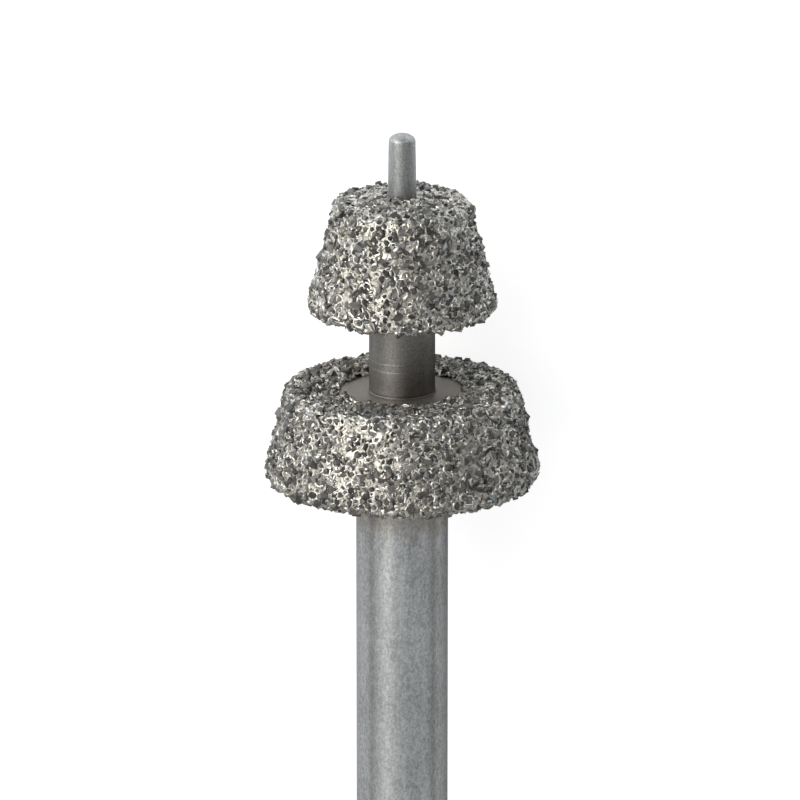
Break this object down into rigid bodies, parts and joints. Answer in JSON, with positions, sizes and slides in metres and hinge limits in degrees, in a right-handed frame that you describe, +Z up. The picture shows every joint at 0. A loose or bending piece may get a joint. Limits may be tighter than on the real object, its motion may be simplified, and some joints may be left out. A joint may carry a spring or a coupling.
{
  "type": "dental bur",
  "caption": "Rotary dental bur: a straight round shank, stepped conical heads coated in coarse diamond grit, a plain neck between them and a smooth pilot pin at the tip.",
  "frame": {"origin": "on the surface that the bur lies on, under the middle of its box", "axes": "+Y along the bur towards its pilot pin, which points 3.72 degrees upwards; +Z up, away from the surface; +X across"},
  "size_m": [0.007, 0.0444, 0.0069],
  "materials": {
    "ground_steel": "satin ground shank, dull turned neck",
    "plated_grit": "coarse diamond grit set in a plated nickel bond"
  },
  "bodies": {
    "root": {"steel_blank": "ground_steel", "large_grit_coat": "plated_grit", "small_grit_coat": "plated_grit"}
  },
  "joints": []
}
